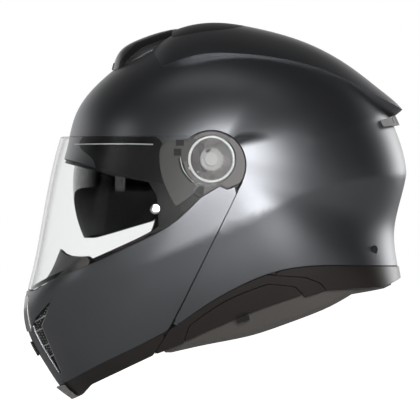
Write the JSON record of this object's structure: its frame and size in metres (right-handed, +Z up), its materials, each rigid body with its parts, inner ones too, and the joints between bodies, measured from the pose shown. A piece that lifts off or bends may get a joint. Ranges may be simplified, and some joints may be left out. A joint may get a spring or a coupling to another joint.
{
  "type": "modular motorcycle helmet",
  "caption": "Modular motorcycle helmet with a chin bar that swings up, a clear visor, a drop-down tinted sun visor, foam and cloth liner, air vents and latches.",
  "frame": {"origin": "on the floor under the middle of the visor hinge axis, level with the tip of the chin", "axes": "-X ahead through the visor, -Y to the rider's left, +Z up"},
  "size_m": [0.3221, 0.2534, 0.3155],
  "materials": {
    "shell_paint": "satin",
    "visor_clear": "gloss",
    "sun_tint": "gloss",
    "foam": "matte",
    "liner_cloth": "matte",
    "neck_cloth": "matte",
    "dark_trim": "satin",
    "hinge_plastic": "satin",
    "cam_clear": "gloss",
    "seal_rubber": "satin",
    "steel": "satin",
    "mesh_metal": "satin",
    "webbing": "matte"
  },
  "bodies": {
    "shell": {"outer_shell": "shell_paint", "impact_liner": "foam", "crown_liner": "liner_cloth", "left_cheek_pad": "liner_cloth", "right_cheek_pad": "liner_cloth", "neck_roll": "neck_cloth", "left_side_trim": "dark_trim", "right_side_trim": "dark_trim", "left_intercom_cover": "dark_trim", "right_intercom_cover": "dark_trim", "rear_trim": "dark_trim", "left_hinge_bush": "steel", "right_hinge_bush": "steel", "left_pivot_bolt": "steel", "right_pivot_bolt": "steel", "left_pivot_nut": "steel", "right_pivot_nut": "steel", "left_sun_visor_pin": "steel", "right_sun_visor_pin": "steel", "top_vent": "shell_paint", "left_latch_striker": "steel", "right_latch_striker": "steel", "brow_seal": "seal_rubber", "rear_vent_grille": "dark_trim", "left_rear_plug": "dark_trim", "right_rear_plug": "dark_trim", "left_chin_strap": "webbing", "right_chin_strap": "webbing", "buckle_tongue": "dark_trim", "buckle_housing": "steel"},
    "chin_bar": {"chin_bar": "shell_paint", "visor_seal": "seal_rubber", "chin_foam": "foam", "chin_trim": "dark_trim", "left_chin_vent_mesh": "mesh_metal", "right_chin_vent_mesh": "mesh_metal", "left_hinge_plate": "hinge_plastic", "right_hinge_plate": "hinge_plastic", "chin_vent_cover": "dark_trim", "breath_deflector": "dark_trim", "left_latch_pin": "steel", "right_latch_pin": "steel"},
    "visor": {"visor": "visor_clear", "left_visor_cam": "cam_clear", "right_visor_cam": "cam_clear", "left_lens_pin": "steel", "right_lens_pin": "steel"},
    "sun_visor": {"sun_visor": "sun_tint"},
    "top_vent_slider": {"top_vent_slider": "dark_trim"},
    "chin_vent_slider": {"chin_vent_slider": "dark_trim"},
    "release_button": {"release_button": "dark_trim"},
    "left_latch": {"left_latch_hook": "steel"},
    "right_latch": {"right_latch_hook": "steel"},
    "sun_visor_slider": {"sun_visor_slider": "dark_trim"},
    "buckle_lever": {"buckle_lever": "steel"}
  },
  "joints": [
    {"name": "chin_bar_hinge", "type": "hinge", "parent": "shell", "child": "chin_bar", "pos_m": [0, 0, 0.20054], "axis": [0, 1, 0], "range_deg": [0, 80]},
    {"name": "visor_hinge", "type": "hinge", "parent": "chin_bar", "child": "visor", "pos_m": [0, 0, 0.20054], "axis": [0, -1, 0], "range_deg": [-50, 0]},
    {"name": "sun_visor_hinge", "type": "hinge", "parent": "shell", "child": "sun_visor", "pos_m": [-0.00966, 0, 0.17955], "axis": [0, 1, 0], "range_deg": [0, 40]},
    {"name": "top_vent_slide", "type": "slide", "parent": "shell", "child": "top_vent_slider", "axis": [0.8015, 0, 0.598], "range_m": [0, 0.004]},
    {"name": "chin_vent_slide", "type": "slide", "parent": "chin_bar", "child": "chin_vent_slider", "axis": [-0.4684, 0, 0.8835], "range_m": [0, 0.006]},
    {"name": "left_latch_hinge", "type": "hinge", "parent": "chin_bar", "child": "left_latch", "pos_m": [-0.0802, 0, 0.08297], "axis": [0, 1, 0], "range_deg": [0, 14], "stiffness_Nm_per_rad": 0.02, "springref_deg": -11.46},
    {"name": "right_latch_hinge", "type": "hinge", "parent": "chin_bar", "child": "right_latch", "pos_m": [-0.0802, 0, 0.08297], "axis": [0, 1, 0], "range_deg": [0, 14], "stiffness_Nm_per_rad": 0.02, "springref_deg": -11.46},
    {"name": "release_button_slide", "type": "slide", "parent": "chin_bar", "child": "release_button", "axis": [0, 0, 1], "range_m": [0, 0.0035]},
    {"name": "sun_visor_slider_slide", "type": "slide", "parent": "shell", "child": "sun_visor_slider", "axis": [0.9512, -0.0858, 0.2963], "range_m": [0, 0.025]},
    {"name": "buckle_lever_hinge", "type": "hinge", "parent": "shell", "child": "buckle_lever", "pos_m": [-0.007, 0.05505, 0.0935], "axis": [-1, 0, 0], "range_deg": [0, 35], "stiffness_Nm_per_rad": 0.01, "springref_deg": -17.19}
  ],
  "couplings": [
    {"joint": "left_latch_hinge", "follows": "release_button_slide", "rad_per_m": 69.813},
    {"joint": "right_latch_hinge", "follows": "release_button_slide", "rad_per_m": 69.813},
    {"joint": "sun_visor_slider_slide", "follows": "sun_visor_hinge", "m_per_rad": 0.035809}
  ]
}
